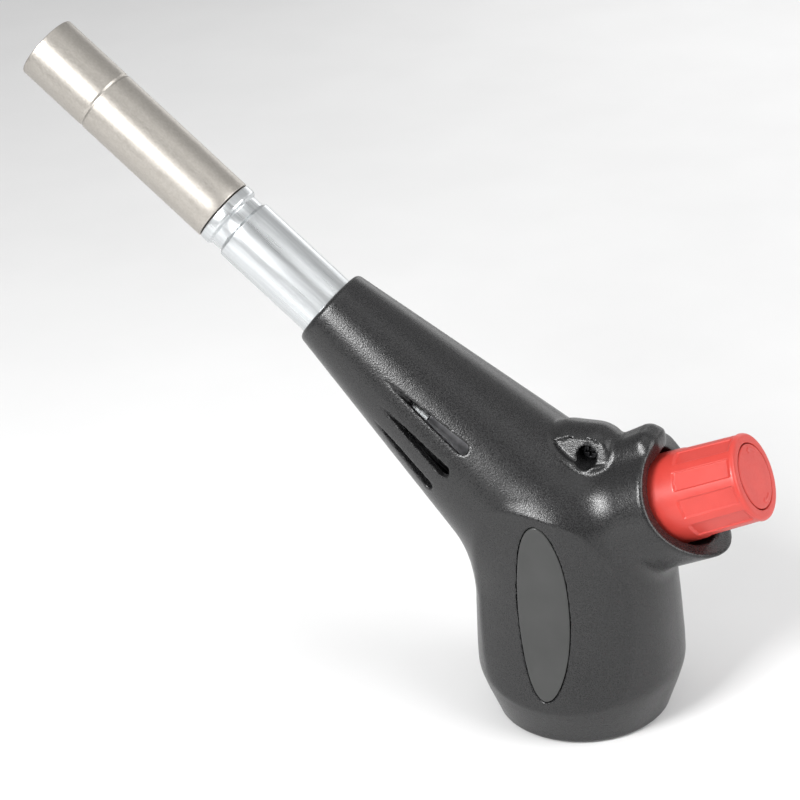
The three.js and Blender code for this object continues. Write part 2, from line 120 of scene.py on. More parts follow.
def beside_profile(rho, s, profile):
    """Distance outside a body of revolution whose radius over height is the profile."""
    xs, ys, slopes = profile
    slope = np.interp(s, xs, slopes)
    return (rho - np.interp(s, xs, ys)) / np.sqrt(1 + slope * slope)


def capsule(s, h, w, ends, at, r):
    """Distance to a bar with round ends that lies along s, at height and width at."""
    t = np.clip(s, *ends)
    return np.sqrt((s - t) ** 2 + (h - at[0]) ** 2 + (w - at[1]) ** 2) - r


def ellipse(u, v, a, b):
    """About how far (u, v) lies outside an ellipse of half sizes a and b."""
    k = np.hypot(u / a, v / b) + 1e-6
    return k * (k - 1) / (np.hypot(u / a**2, v / b**2) + 1e-6)


# ---------------------------------------------------------------- housing
WALL = 2.5
SKIRT_TOP = 84
SKIRT = smooth_profile([
    (-4, 25.8), (0, 27.9), (3, 29.0), (7, 30.5), (12, 32.3), (16.5, 33.6), (22, 33.8), (30, 33.5),
    (42, 32.9), (54, 31.8), (64, 29.5), (74, 25.5), (SKIRT_TOP, 18.5),
])
WEB = (34, 37)  # underside and top of the floor over the cartridge space
NECK_END = along("housing_left", TUBE_AXIS)[1]
NECK = dict(r=13.6, flare=0.153, rise=0.8, bore=11.15, bore_from=90, bore_length=7)
COLLAR = dict(r=20.8, bore=16.1, cup_t=2.2, floor=22, floor_t=3, rim=40.8, rim_slope=-0.185, rim_bow=0.0153)
RIDGE = dict(r=5.2, above=19.6, rise=0.1, beside=2.4, ends=(20, 39.8))
HUMP = dict(r=11.2, z=90.3, ends=(1.5, 9))
PANEL = dict(top=80.0, top_y=26.3, rise=0.0188, power=1.4, bow_r=37.0, edge=0.45)
HOLLOW = dict(depth=1.7, half_w=25.0, low=(13, 36), high=(58, 82))  # the panel's extra dishing
LABEL = dict(x=-1.4, z=47.0, lean=0.04, half_w=8.8, half_h=29.6, depth=1.5, gap=0.22)
EYE = dict(
    x=9.1, z=96.5, half=11.2, above=2.7, below=4.7, tilt=-0.105, floor=7.6, lean=0.45, lean_from=95.5,
)
SPINDLE_HOLE = dict(r=9, start=10)  # through the collar's floor
SOCKET_HOLE = dict(r=9.8, z=35.5, half_t=6)  # through the web
SCREW = dict(x=9.0, z=93.9, hole=3.3, seat=2.0, shank=1.7, boss=5.2)
VENTS = (  # end of the slot, end of its tail, angle above the tube's side at both, in degrees
    dict(slot=(41.7, 57.0), tail=73.5, angles=(24.5, 19.0)),
    dict(slot=(41.2, 56.5), tail=70.5, angles=(-0.5, -4.5)),
    dict(slot=(42.0, 58.0), tail=68.0, angles=(-25.5, -27.0)),
)
VENT_R = (2.05, 1.25, 0.12)  # half width at the round end, where the slot ends, and at the tip of the tail


def panel_y(x, z):
    """How far from the parting plane the dished grip panel in the housing's side lies."""
    dish = PANEL["top_y"] + PANEL["rise"] * np.clip(PANEL["top"] - z, 0, None) ** PANEL["power"]
    left_fade = np.where(x < 0, 1 - smoothstep(z, 45, 80), 1)
    hollow = smoothstep(z, *HOLLOW["low"]) - smoothstep(z, *HOLLOW["high"])
    hollow = hollow * HOLLOW["depth"] * np.clip(1 - (x / HOLLOW["half_w"]) ** 2, 0, None)
    return dish - left_fade * x * x / (2 * PANEL["bow_r"]) - hollow


def label_edge(x, z):
    """Distance outside the label's outline, seen from the side."""
    v = z - LABEL["z"]
    u = x - LABEL["x"] + LABEL["lean"] * v
    return ellipse(u, v, LABEL["half_w"], LABEL["half_h"])


class Place:
    """Coordinates of many points: x, y and z, s along and up above the tube's axis, q along and n above the
    knob's axis, and knob_r away from it."""

    def __init__(self, x, y, z):
        self.x, self.y, self.z, self.side = x, y, z, np.abs(y)
        dx, dz = x - CENTRE[0], z - CENTRE[2]
        self.s, self.up = dx * TUBE_AXIS[0] + dz * TUBE_AXIS[2], dx * TUBE_UP[0] + dz * TUBE_UP[2]
        self.q, self.n = dx * KNOB_AXIS[0] + dz * KNOB_AXIS[2], dx * KNOB_UP[0] + dz * KNOB_UP[2]
        self.knob_r = np.hypot(self.n, y)


def outer_form(p, open_below=False):
    """The housing's outside; open_below leaves out the skirt's flat bottom."""
    skirt = beside_profile(np.hypot(p.x, p.y), p.z, SKIRT)
    if not open_below:
        skirt = soft_max(skirt, -p.z, 1.2)
    skirt = soft_max(skirt, p.z - SKIRT_TOP, 12)
    r = NECK["r"] + NECK["flare"] * (NECK_END - p.s)
    neck = (np.hypot(p.up - NECK["rise"], p.y) - r) / math.hypot(1, NECK["flare"])
    neck = soft_max(soft_max(neck, p.s - NECK_END, 2.0), -p.s - 2, 10)
    rim = COLLAR["rim"] + COLLAR["rim_slope"] * p.n + COLLAR["rim_bow"] * p.n**2
    collar = soft_max(soft_max(p.knob_r - COLLAR["r"], (p.q - rim) * 0.9, 1.6), -p.q - 2, 8)
    above = RIDGE["above"] + RIDGE["rise"] * (p.q - RIDGE["ends"][1])
    beside = np.clip(p.side - RIDGE["beside"], 0, None)
    ridge = capsule(p.q, p.n, beside, RIDGE["ends"], (above, 0), RIDGE["r"])
    collar = soft_min(collar, ridge, 3)
    hump = capsule(p.x, p.z, p.y, HUMP["ends"], (HUMP["z"], 0), HUMP["r"])
    bell = soft_max(soft_min(skirt, neck, 9), (p.side - panel_y(p.x, p.z)) * 0.87, PANEL["edge"])
    return soft_min(soft_min(bell, collar, 5), hump, 1.5)


def vent(p, slot, tail, angles):
    """An air slot through the neck's wall, with a tail that rises to the surface in a point."""
    t = np.clip((p.s - slot[0]) / (tail - slot[0]), 0, 1)
    angle = np.radians(angles[0] + (angles[1] - angles[0]) * t)
    over = p.up - NECK["rise"]
    across = over * np.cos(angle) - p.side * np.sin(angle)
    out = over * np.sin(angle) + p.side * np.cos(angle)
    stops = [slot[0], slot[1], tail]
    width = np.interp(p.s, stops, VENT_R)
    outline = np.where(p.s < slot[0], np.hypot(p.s - slot[0], across), np.abs(across)) - width
    outline = np.maximum(outline, p.s - tail)
    tail_depth, through = 3.4, 30  # depth of the tail at the slot's end, and one well past the wall
    surface = NECK["r"] + NECK["flare"] * (NECK_END - p.s)
    floor = surface - tail_depth * (1 - smoothstep(p.s, slot[1] - 1, tail)) - through * (p.s < slot[1])
    return soft_max(outline, (floor - out) * 0.9, 0.4)


def eye(p, grow=0.0):
    """The almond recess round the housing screw, or the larger space that its wall fills."""
    dx, dz = p.x - EYE["x"], p.z - EYE["z"]
    u = dx * math.cos(EYE["tilt"]) + dz * math.sin(EYE["tilt"])
    v = dz * math.cos(EYE["tilt"]) - dx * math.sin(EYE["tilt"])
    bow = 1 - (u / EYE["half"]) ** 2
    slope = 2 * u / EYE["half"] ** 2
    above = (v - EYE["above"] * bow) / np.hypot(1, EYE["above"] * slope)
    below = (-v - EYE["below"] * bow) / np.hypot(1, EYE["below"] * slope)
    floor = EYE["floor"] - EYE["lean"] * (p.z - EYE["lean_from"])
    almond = soft_max(above, below, 0.4) - grow
    return soft_max(almond, (floor - grow - p.side) / math.hypot(1, EYE["lean"]), 0.4)


def screw_axis(p):
    """Distance from the housing screw's axis."""
    return np.hypot(p.x - SCREW["x"], p.z - SCREW["z"])


def housing_half(p, left):
    """One half of the housing, drawn on the -Y side; only the left has a hole for the screw's head."""
    form = outer_form(p)
    inside = outer_form(p, open_below=True) + WALL
    cup_from = COLLAR["floor"] - COLLAR["floor_t"]
    cup = soft_max(p.knob_r - COLLAR["bore"] - COLLAR["cup_t"], cup_from - p.q, 0.5)
    chamber = np.maximum(inside, WEB[1] - p.z)
    chamber = np.maximum(chamber, p.s - (NECK_END - NECK["bore_length"]))
    chamber = soft_max(chamber, -cup, 0.5)
    chamber = np.maximum(chamber, -eye(p, WALL * 0.8))
    chamber = np.maximum(chamber, SCREW["boss"] - screw_axis(p))
    form = soft_max(form, -np.maximum(inside, p.z - WEB[0]), 0.4)
    form = soft_max(form, -chamber, 0.4)
    bore = soft_max(p.knob_r - COLLAR["bore"], COLLAR["floor"] - p.q, 1)
    form = soft_max(form, -bore, 0.8)
    tube_bore = np.maximum(np.hypot(p.up, p.y) - NECK["bore"], NECK["bore_from"] - p.s)
    form = soft_max(form, -tube_bore, 0.6)
    spindle_hole = np.maximum(p.knob_r - SPINDLE_HOLE["r"], SPINDLE_HOLE["start"] - p.q)
    form = soft_max(form, -spindle_hole, 0.4)
    socket_hole = np.hypot(p.x, p.y) - SOCKET_HOLE["r"]
    socket_hole = np.maximum(socket_hole, np.abs(p.z - SOCKET_HOLE["z"]) - SOCKET_HOLE["half_t"])
    form = soft_max(form, -socket_hole, 0.4)
    form = soft_max(form, -eye(p), 0.55)
    pocket = soft_max(label_edge(p.x, p.z) - LABEL["gap"], panel_y(p.x, p.z) - LABEL["depth"] - p.side, 0.2)
    form = soft_max(form, -pocket, 0.3)
    for one in VENTS:
        form = soft_max(form, -vent(p, **one), 0.45)
    if left:
        form = soft_max(form, -np.maximum(screw_axis(p) - SCREW["hole"], SCREW["seat"] - p.side), 0.3)
    return soft_max(form, SCREW["shank"] - screw_axis(p), 0.2)


# ---------------------------------------------------------------- surfaces from distances
def in_parts(field, x, y, z):
    """A field's values at many points, worked out a part at a time to save memory."""
    size = 150_000
    flat = [np.ascontiguousarray(a, np.float32).ravel() for a in (x, y, z)]
    parts = [field(Place(*(a[i : i + size] for a in flat))) for i in range(0, flat[0].size, size)]
    return np.concatenate(parts).reshape(np.shape(x)).astype(np.float32)


def sample_near_surface(field, low, counts, step, block):
    """Field values on a grid, worked out only in the blocks that the surface may cross."""
    far = 9.0
    middles = [low[i] + step * block * (np.arange(counts[i]) + 0.5) - step / 2 for i in range(3)]
    coarse = in_parts(field, *np.meshgrid(*middles, indexing="ij"))
    blocks = np.repeat(np.sign(coarse)[..., None], block**3, 3).astype(np.float32) * far
    near = np.argwhere(np.abs(coarse) < step * block * 1.35)
    offsets = np.stack(np.meshgrid(*[np.arange(block)] * 3, indexing="ij"), -1).reshape(-1, 3)
    at = low + step * (near[:, None, :] * block + offsets[None])
    blocks[tuple(near.T)] = in_parts(field, at[..., 0], at[..., 1], at[..., 2])
    grid = blocks.reshape(*counts, block, block, block).transpose(0, 3, 1, 4, 2, 5)
    return np.ascontiguousarray(grid.reshape([c * block for c in counts]))


def gradient(field, v, h):
    """The field's slope at each point, from four points round it."""
    g = np.zeros_like(v)
    for k in ((1, -1, -1), (-1, -1, 1), (-1, 1, -1), (1, 1, 1)):
        k = np.array(k, float)
        g += k * in_parts(field, *(v + k * h).T)[:, None]
    return g / (4 * h)


def corners_inside(inside):
    """How many of each grid cell's eight corners are inside."""
    nx, ny, nz = (n - 1 for n in inside.shape)
    total = np.zeros((nx, ny, nz), np.int8)
    for i, j, k in product((0, 1), repeat=3):
        total += inside[i : nx + i, j : ny + j, k : nz + k]
    return total


def surface_net(solid, low, high, step, flat_y):
    """Closed quad mesh round the part of a solid below flat_y, with a vertex in each cell it crosses."""
    block = 8

    def field(p):
        return np.maximum(solid(p), p.y - flat_y)

    low, high = np.array(low, float), np.array(high, float)
    counts = np.ceil((high - low) / (step * block)).astype(int)
    values = sample_near_surface(field, low, counts, step, block)
    inside = values < 0
    total = corners_inside(inside)
    cells = np.argwhere((total > 0) & (total < 8))
    index = np.full(total.shape, -1, np.int64)
    index[tuple(cells.T)] = np.arange(len(cells))
    sums, hits = np.zeros((len(cells), 3)), np.zeros(len(cells))
    quads = []
    for axis in range(3):
        u, v = (axis + 1) % 3, (axis + 2) % 3
        ahead = np.eye(3, dtype=int)[axis]
        for du, dv in product((0, 1), repeat=2):
            start = cells.copy()
            start[:, u] += du
            start[:, v] += dv
            a, b = values[tuple(start.T)], values[tuple((start + ahead).T)]
            crossed = (a < 0) != (b < 0)
            t = a[crossed] / (a[crossed] - b[crossed])
            sums[crossed] += start[crossed] + t[:, None] * ahead
            hits += crossed
        first = np.take(inside, range(inside.shape[axis] - 1), axis)
        second = np.take(inside, range(1, inside.shape[axis]), axis)
        edges = np.argwhere(first != second)
        back_u, back_v = np.eye(3, dtype=int)[u], np.eye(3, dtype=int)[v]
        ring = [edges - back_u - back_v, edges - back_v, edges, edges - back_u]
        quad = np.stack([index[tuple(c.T)] for c in ring], 1)
        outwards = first[tuple(edges.T)]
        quads.append(np.where(outwards[:, None], quad, quad[:, ::-1]))
    vertices = low + step * sums / hits[:, None]
    for _ in range(2):
        g = gradient(field, vertices, step * 0.2)
        move = in_parts(field, *vertices.T) / np.maximum((g * g).sum(1), 0.2)
        move = np.clip(move, -0.4 * step, 0.4 * step)
        vertices -= move[:, None] * g
    on_flat = np.flatnonzero(vertices[:, 1] > flat_y - 0.55 * step)
    vertices[on_flat, 1] = flat_y
    for _ in range(3):
        rim = vertices[on_flat]
        value = in_parts(solid, *rim.T)
        g = gradient(solid, rim, step * 0.2) * (1, 0, 1)
        steep = np.maximum((g * g).sum(1), 0.2)
        near = np.abs(value) < 0.8 * step
        vertices[on_flat] -= np.where(near, value / steep, 0)[:, None] * g
    return vertices, np.concatenate(quads)


# ---------------------------------------------------------------- meshes
def add_mesh(name, vertices, faces, place=None):
    """A smooth-shaded object from vertices in millimetres and quads or triangles."""
    mesh = bpy.data.meshes.new(name)
    vertices = np.asarray(vertices, float) * MM
    if isinstance(faces, np.ndarray):
        n, sides = faces.shape
        mesh.vertices.add(len(vertices))
        mesh.vertices.foreach_set("co", vertices.astype(np.float32).ravel())
        mesh.loops.add(n * sides)
        mesh.loops.foreach_set("vertex_index", faces.astype(np.int32).ravel())
        mesh.polygons.add(n)
        mesh.polygons.foreach_set("loop_start", np.arange(0, n * sides, sides, dtype=np.int32))
    else:
        mesh.from_pydata(vertices.tolist(), [], faces)
    mesh.update(calc_edges=True)
    mesh.validate()
    mesh.polygons.foreach_set("use_smooth", np.ones(len(mesh.polygons), bool))
    obj = bpy.data.objects.new(name, mesh)
    bpy.context.scene.collection.objects.link(obj)
    if place is not None:
        obj.matrix_world = place
    return obj


def axis_place(origin, axis):
    """A frame in metres with its Z along an axis in the XZ plane and its Y the world's Y."""
    z = Vector(axis)
    y = Vector((0, 1, 0))
    x = y.cross(z)
    place = Matrix((x, y, z)).transposed().to_4x4()
    place.translation = Vector(origin) * MM
    return place


KNOB_PLACE = axis_place(CENTRE, KNOB_AXIS)
TUBE_PLACE = axis_place(CENTRE, TUBE_AXIS)
CARTRIDGE_PLACE = Matrix.Identity(4)


def filleted(corners, radius, steps=3):
    """A closed or open (r, z) outline with its corners rounded; a corner may give its own radius."""
    pts = [np.array(c[:2], float) for c in corners]
    closed = np.allclose(pts[0], pts[-1])
    if closed:
        pts = pts[:-1]
        corners = corners[:-1]
    out = []
    count = len(pts)
    for i, p in enumerate(pts):
        if not closed and i in (0, count - 1):
            out.append(p)
            continue
        before, after = pts[i - 1] - p, pts[(i + 1) % count] - p
        a, b = np.linalg.norm(before), np.linalg.norm(after)
        turn_cos = np.clip(before @ after / (a * b), -1, 1)
        half = math.acos(turn_cos) / 2
        want = corners[i][2] if len(corners[i]) > 2 else radius
        reach = min(want / max(math.tan(half), 1e-3), 0.45 * a, 0.45 * b)
        if half > 1.45 or reach < 0.02:
            out.append(p)
            continue
        start, end = p + before / a * reach, p + after / b * reach
        for j in range(steps + 1):
            t = j / steps
            out.append((1 - t) ** 2 * start + 2 * t * (1 - t) * p + t * t * end)
    if closed:
        out.append(out[0])
    return out


def refined(outline, longest):
    """The outline with its long stretches divided."""
    out = [outline[0]]
    for a, b in zip(outline, outline[1:]):
        n = max(1, math.ceil(np.linalg.norm(np.subtract(b, a)) / longest))
        out += [np.add(a, np.subtract(b, a) * (i / n)) for i in range(1, n + 1)]
    return out


def turned(name, outline, place, segments, bend=None):
    """A body of revolution from an (r, z) outline that meets the axis or closes; bend moves its points."""
    outline = np.array(outline, float)
    closed = np.allclose(outline[0], outline[-1]) and outline[0][0] > 1e-6
    if closed:
        outline = outline[:-1]
    theta = np.arange(segments) * 2 * math.pi / segments
    r, z = np.repeat(outline[:, :1], segments, 1), np.repeat(outline[:, 1:], segments, 1)
    if bend:
        r, z = bend(r, z, theta[None, :])
    grid = np.stack([r * np.cos(theta), r * np.sin(theta), z], -1)
    rows = len(outline)
    ids = np.arange(rows * segments).reshape(rows, segments)
    last = rows if closed else rows - 1
    faces = []
    for i in range(last):
        a, b = ids[i], ids[(i + 1) % rows]
        c, d = np.roll(a, -1), np.roll(b, -1)
        faces += np.stack([a, c, d, b], 1).tolist()
    vertices = grid.reshape(-1, 3)
    if not closed:
        poles = [i for i in (0, rows - 1) if outline[i][0] < 1e-6]
        for pole in poles:
            keep = ids[pole][0]
            swap = {int(k): int(keep) for k in ids[pole]}
            faces = [list(dict.fromkeys(swap.get(k, k) for k in face)) for face in faces]
        faces = [face for face in faces if len(face) > 2]
    obj = add_mesh(name, vertices, faces, place)
    tidy_mesh(obj)
    return obj


def tidy_mesh(obj):
    """Drops loose vertices and turns every face outwards."""
    bm = bmesh.new()
    bm.from_mesh(obj.data)
    loose = [v for v in bm.verts if not v.link_faces]
    bmesh.ops.delete(bm, geom=loose, context="VERTS")
    bmesh.ops.recalc_face_normals(bm, faces=bm.faces)
    bm.to_mesh(obj.data)
    bm.free()


def apply_modifiers(obj):
    bpy.context.view_layer.update()
    evaluated = obj.evaluated_get(bpy.context.evaluated_depsgraph_get())
    mesh = bpy.data.meshes.new_from_object(evaluated)
    obj.modifiers.clear()
    obj.data = mesh


def drilled(obj, cutters):
    """Cuts tools out of a piece and removes them."""
    for tool in cutters:
        step = obj.modifiers.new("cut", "BOOLEAN")
        step.operation, step.object, step.solver = "DIFFERENCE", tool, "EXACT"
        apply_modifiers(obj)
        bpy.data.objects.remove(tool)


def sharpen(obj, degrees):
    """Shades smooth, but leaves edges sharper than the angle crisp."""
    obj.data.set_sharp_from_angle(angle=math.radians(degrees))
    return obj


def rod_tool(r, start, end, place, offset=(0, 0), segments=32):
    """A round cutter along a place's Z, from start to end."""
    shifted = place @ Matrix.Translation(Vector((*offset, 0)) * MM)
    return turned("tool", [(0, start), (r, start), (r, end), (0, end)], shifted, segments)


# ---------------------------------------------------------------- finishes
class Finish:
    """A node material, with short ways to add nodes and join them."""

    def __init__(self, name, color, roughness, metallic=0.0):
        self.material = bpy.data.materials.new(name)
        self.material.use_nodes = True
        self.tree = self.material.node_tree
        self.shader = self.tree.nodes["Principled BSDF"]
        self.shader.inputs["Base Color"].default_value = (*color, 1)
        self.shader.inputs["Roughness"].default_value = roughness
        self.shader.inputs["Metallic"].default_value = metallic
        self.place = self.add("ShaderNodeTexCoord").outputs["Object"]

    def add(self, kind, **settings):
        node = self.tree.nodes.new(kind)
        for key, value in settings.items():
            setattr(node, key, value)
        return node

    def join(self, source, target):
        self.tree.links.new(source, target)

    def noise(self, size_mm, detail, stretch=(1, 1, 1)):
        """Noise whose grains are about that large, drawn out along the axes by stretch."""
        mapping = self.add("ShaderNodeMapping")
        mapping.inputs["Scale"].default_value = [1 / s for s in stretch]
        self.join(self.place, mapping.inputs["Vector"])
        noise = self.add("ShaderNodeTexNoise")
        noise.inputs["Scale"].default_value = 1 / (size_mm * MM)
        noise.inputs["Detail"].default_value = detail
        self.join(mapping.outputs["Vector"], noise.inputs["Vector"])
        return noise.outputs["Fac"]

    def between(self, value, low, high, to_low, to_high):
        ramp = self.add("ShaderNodeMapRange")
        for key, number in zip(("From Min", "From Max", "To Min", "To Max"), (low, high, to_low, to_high)):
            ramp.inputs[key].default_value = number
        self.join(value, ramp.inputs["Value"])
        return ramp.outputs["Result"]

    def roughness(self, value, low, high):
        self.join(self.between(value, 0.3, 0.7, low, high), self.shader.inputs["Roughness"])

    def color(self, value, first, second, low=0.3, high=0.7):
        mix = self.add("ShaderNodeMix", data_type="RGBA")
        mix.inputs[6].default_value = (*first, 1)
        mix.inputs[7].default_value = (*second, 1)
        self.join(self.between(value, low, high, 0, 1), mix.inputs["Factor"])
        self.join(mix.outputs[2], self.shader.inputs["Base Color"])

    def bump(self, height, depth_mm, strength):
        bump = self.add("ShaderNodeBump")
        bump.inputs["Strength"].default_value = strength
        bump.inputs["Distance"].default_value = depth_mm * MM
        self.join(height, bump.inputs["Height"])
        if self.shader.inputs["Normal"].is_linked:
            self.join(self.shader.inputs["Normal"].links[0].from_socket, bump.inputs["Normal"])
        self.join(bump.outputs["Normal"], self.shader.inputs["Normal"])


def housing_plastic():
    f = Finish("charcoal_grained_plastic", (0.012, 0.012, 0.0125), 0.36)
    f.color(f.noise(0.34, 1.5), (0.006, 0.006, 0.0065), (0.018, 0.018, 0.0185), 0.42, 0.62)
    f.roughness(f.noise(0.34, 1), 0.2, 0.38)
    f.bump(f.noise(0.42, 1.2), 0.11, 0.6)
    return f.material


def inlay_plastic():
    f = Finish("grey_satin_plastic", (0.034, 0.035, 0.034), 0.36)
    f.color(f.noise(14, 3), (0.031, 0.032, 0.031), (0.038, 0.039, 0.038))
    f.roughness(f.noise(6, 4), 0.2, 0.26)
    f.bump(f.noise(0.35, 2), 0.02, 0.15)
    return f.material


def knob_plastic():
    f = Finish("red_satin_plastic", (0.52, 0.045, 0.034), 0.33)
    f.color(f.noise(8, 3), (0.5, 0.042, 0.032), (0.55, 0.05, 0.038))
    f.roughness(f.noise(0.8, 3), 0.3, 0.42)
    f.bump(f.noise(0.45, 2), 0.03, 0.35)
    return f.material


def zinc_plate():
    f = Finish("bright_zinc_plate", (0.62, 0.64, 0.65), 0.3, 1.0)
    f.color(f.noise(1.2, 3, (1, 1, 30)), (0.54, 0.56, 0.57), (0.68, 0.7, 0.71))
    f.roughness(f.noise(1.6, 4, (1, 1, 25)), 0.24, 0.38)
    f.bump(f.noise(1.1, 3, (1, 1, 40)), 0.02, 0.3)
    return f.material


def stainless():
    f = Finish("satin_stainless_steel", (0.44, 0.415, 0.38), 0.28, 1.0)
    f.color(f.noise(0.8, 3), (0.41, 0.385, 0.35), (0.47, 0.445, 0.41))
    f.roughness(f.noise(0.5, 3), 0.34, 0.48)
    f.bump(f.noise(0.35, 2), 0.012, 0.5)
    return f.material


def brass():
    f = Finish("turned_brass", (0.72, 0.52, 0.22), 0.28, 1.0)
    f.color(f.noise(3, 4), (0.66, 0.46, 0.18), (0.78, 0.58, 0.27))
    f.roughness(f.noise(0.3, 3, (15, 15, 1)), 0.22, 0.38)
    f.bump(f.noise(0.25, 2, (20, 20, 1)), 0.015, 0.3)
    return f.material


def cast_zinc():
    f = Finish("die_cast_zinc", (0.25, 0.25, 0.26), 0.5, 1.0)
    f.color(f.noise(2.5, 4), (0.19, 0.19, 0.2), (0.3, 0.3, 0.31))
    f.roughness(f.noise(0.8, 3), 0.4, 0.6)
    f.bump(f.noise(0.5, 3), 0.06, 0.5)
    return f.material


def screw_steel():
    # Painted shade: the screw's steel and its grain are coloured near black, so the screw reads as the shade at
    # the bottom of its deep hole.
    f = Finish("screw_steel_darkened_as_shade", (0.035, 0.035, 0.037), 0.5, 1.0)
    f.color(f.noise(0.9, 3), (0.025, 0.025, 0.027), (0.05, 0.05, 0.052))
    f.roughness(f.noise(0.6, 3), 0.42, 0.58)
    f.bump(f.noise(0.4, 2), 0.02, 0.3)
    return f.material


def seal_rubber():
    f = Finish("nitrile_rubber", (0.02, 0.02, 0.02), 0.7)
    f.color(f.noise(1.2, 3), (0.015, 0.015, 0.015), (0.028, 0.028, 0.028))
    f.roughness(f.noise(0.5, 2), 0.6, 0.8)
    f.bump(f.noise(0.3, 2), 0.03, 0.4)
    return f.material


FINISHES = {
    "housing_plastic": housing_plastic(),
    "inlay_plastic": inlay_plastic(),
    "knob_plastic": knob_plastic(),
    "zinc_plate": zinc_plate(),
    "stainless": stainless(),
    "brass": brass(),
    "cast_zinc": cast_zinc(),
    "screw_steel": screw_steel(),
    "seal_rubber": seal_rubber(),
}
SLOT_OF = {part["node"]: part["material_slot"] for part in frame["record"]["subparts"]}
BODY_OF = {node: body for body, nodes in frame["record"]["behaviour"]["bodies"].items() for node in nodes}


def stand_for(obj, node):
    """Gives a piece its node's finish and body, and shows it in the node's place."""
    obj.data.materials.clear()
    obj.data.materials.append(FINISHES[SLOT_OF[node]])
    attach(obj, BODY_OF[node])
    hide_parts(node)


for node, carried in frame["nodes"].items():
    carried.data.materials.clear()
    carried.data.materials.append(FINISHES[SLOT_OF[node]])


# ---------------------------------------------------------------- housing pieces
HOUSING_STEP = 0.55
SEAM = 0.05


def make_housing():
    """Both halves, each from the distances on the -Y side; the right one is then mirrored."""
    margin = 2.5
    low = np.array(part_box("housing_left")[0]) / MM - margin
    high = np.array(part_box("housing_left")[1]) / MM + margin
    high[1] = 0.9  # a little past the parting plane
    for node, left in (("housing_left", True), ("housing_right", False)):
        form = partial(housing_half, left=left)
        vertices, quads = surface_net(form, low, high, HOUSING_STEP, -SEAM / 2)
        if not left:
            vertices[:, 1] *= -1
            quads = quads[:, ::-1]
        stand_for(sharpen(add_mesh(node + "_moulding", vertices, quads), 50), node)


def label_inlay(node, side):
    """A thin plate with rounded edges that stands a hair proud of the grip panel."""
    rings, around, flat_share = 26, 160, 0.93
    proud = 0.05
    angle = np.arange(around) * 2 * math.pi / around
    rows = []
    # each stop is a share of the outline, a drop below the face and an inset
    stops = [(i / rings * flat_share, 0.0, 0.0) for i in range(1, rings + 1)]
    rounding = ((0.35, 0.0), (0.18, 0.06), (0.05, 0.18), (0.0, 0.35))
    for inset, drop in (*rounding, (0.0, LABEL["depth"] - 0.2)):
        stops.append((1.0, drop, inset))
    for share, drop, inset in stops:
        a, b = (LABEL["half_w"] - inset) * share, (LABEL["half_h"] - inset) * share
        v = b * np.sin(angle)
        u = a * np.cos(angle) - LABEL["lean"] * v
        x, z = LABEL["x"] + u, LABEL["z"] + v
        rows.append(np.stack([x, panel_y(x, z) + proud - drop, z], 1))
    front = np.array([[LABEL["x"], panel_y(LABEL["x"], LABEL["z"]) + proud, LABEL["z"]]])
    back = front - [[0, LABEL["depth"] - 0.15, 0]]
    vertices = np.concatenate([front, *rows, back])
    vertices[:, 1] *= side
    faces = []
    total = len(rows)
    for j in range(around):
        k = (j + 1) % around
        faces.append([0, 1 + j, 1 + k])
        for i in range(total - 1):
            a, b = 1 + i * around, 1 + (i + 1) * around
            faces.append([a + j, b + j, b + k, a + k])
        faces.append([1 + (total - 1) * around + j, len(vertices) - 1, 1 + (total - 1) * around + k])
    obj = add_mesh(node + "_plate", vertices, faces)
    tidy_mesh(obj)
    stand_for(sharpen(obj, 60), node)


def housing_screw():
    at = Matrix.Translation(Vector((SCREW["x"], 0, SCREW["z"])) * MM)
    place = at @ Matrix.Rotation(math.pi / 2, 4, "X")
    head_r, head_from, shank_r = 2.9, 2.35, 1.4

    def recess(r, z, theta):
        """A cross recess in the head's face."""
        u, v = r * np.cos(theta), r * np.sin(theta)
        arm = np.minimum(np.abs(u), np.abs(v))
        along_arm = np.maximum(np.abs(u), np.abs(v))
        depth = 1.3 * (1 - smoothstep(arm, 0.28, 0.5)) * (1 - smoothstep(along_arm, 1.3, 1.75))
        on_face = (z > 4.2) & (r < head_r - 0.4)
        return r, z - np.where(on_face, depth, 0)

    outline = [
        (0, 4.4), (2.2, 4.35), (head_r, 3.9, 0.3), (head_r, head_from), (shank_r, head_from),
        (shank_r, -7.2), (0, -8),
    ]
    outline = refined(filleted(outline, 0.15), 0.12)
    obj = turned("housing_screw_turned", outline, place, 96, recess)
    stand_for(sharpen(obj, 50), "housing_screw")


# ---------------------------------------------------------------- tubes
def burner_tube():
    start, end, r = along("burner_tube", TUBE_AXIS)
    bore = 9.85
    outer = r - 0.15
    neck_r, neck_bore = 9.85, 8.85
    neck_from, neck_to = end - 8.6, end - 3.6
    port_r, port_at, port_count, port_span = 4.2, 66, 4, (6, 14)
    outline = [
        (bore, start), (outer, start), (outer, neck_from - 0.2, 0.6), (neck_r, neck_from + 0.7, 0.5),
        (neck_r, neck_to - 0.6, 0.5), (outer, neck_to + 0.2, 0.5), (r, neck_to + 0.8), (r, end, 0.45),
        (bore, end), (bore, neck_to), (neck_bore, neck_to - 0.8), (neck_bore, neck_from + 0.8),
        (bore, neck_from), (bore, start),
    ]
    obj = turned("burner_tube_drawn", refined(filleted(outline, 0.2, 4), 3), TUBE_PLACE, 128)
    ports = []
    for i in range(port_count):
        turn_by = Matrix.Rotation((i + 0.5) * math.pi / 2, 4, "Z")
        shift = Matrix.Translation(Vector((0, 0, port_at * MM)))
        side = TUBE_PLACE @ turn_by @ shift @ Matrix.Rotation(-math.pi / 2, 4, "X")
        ports.append(rod_tool(port_r, *port_span, side))
    drilled(obj, ports)
    stand_for(sharpen(obj, 45), "burner_tube")


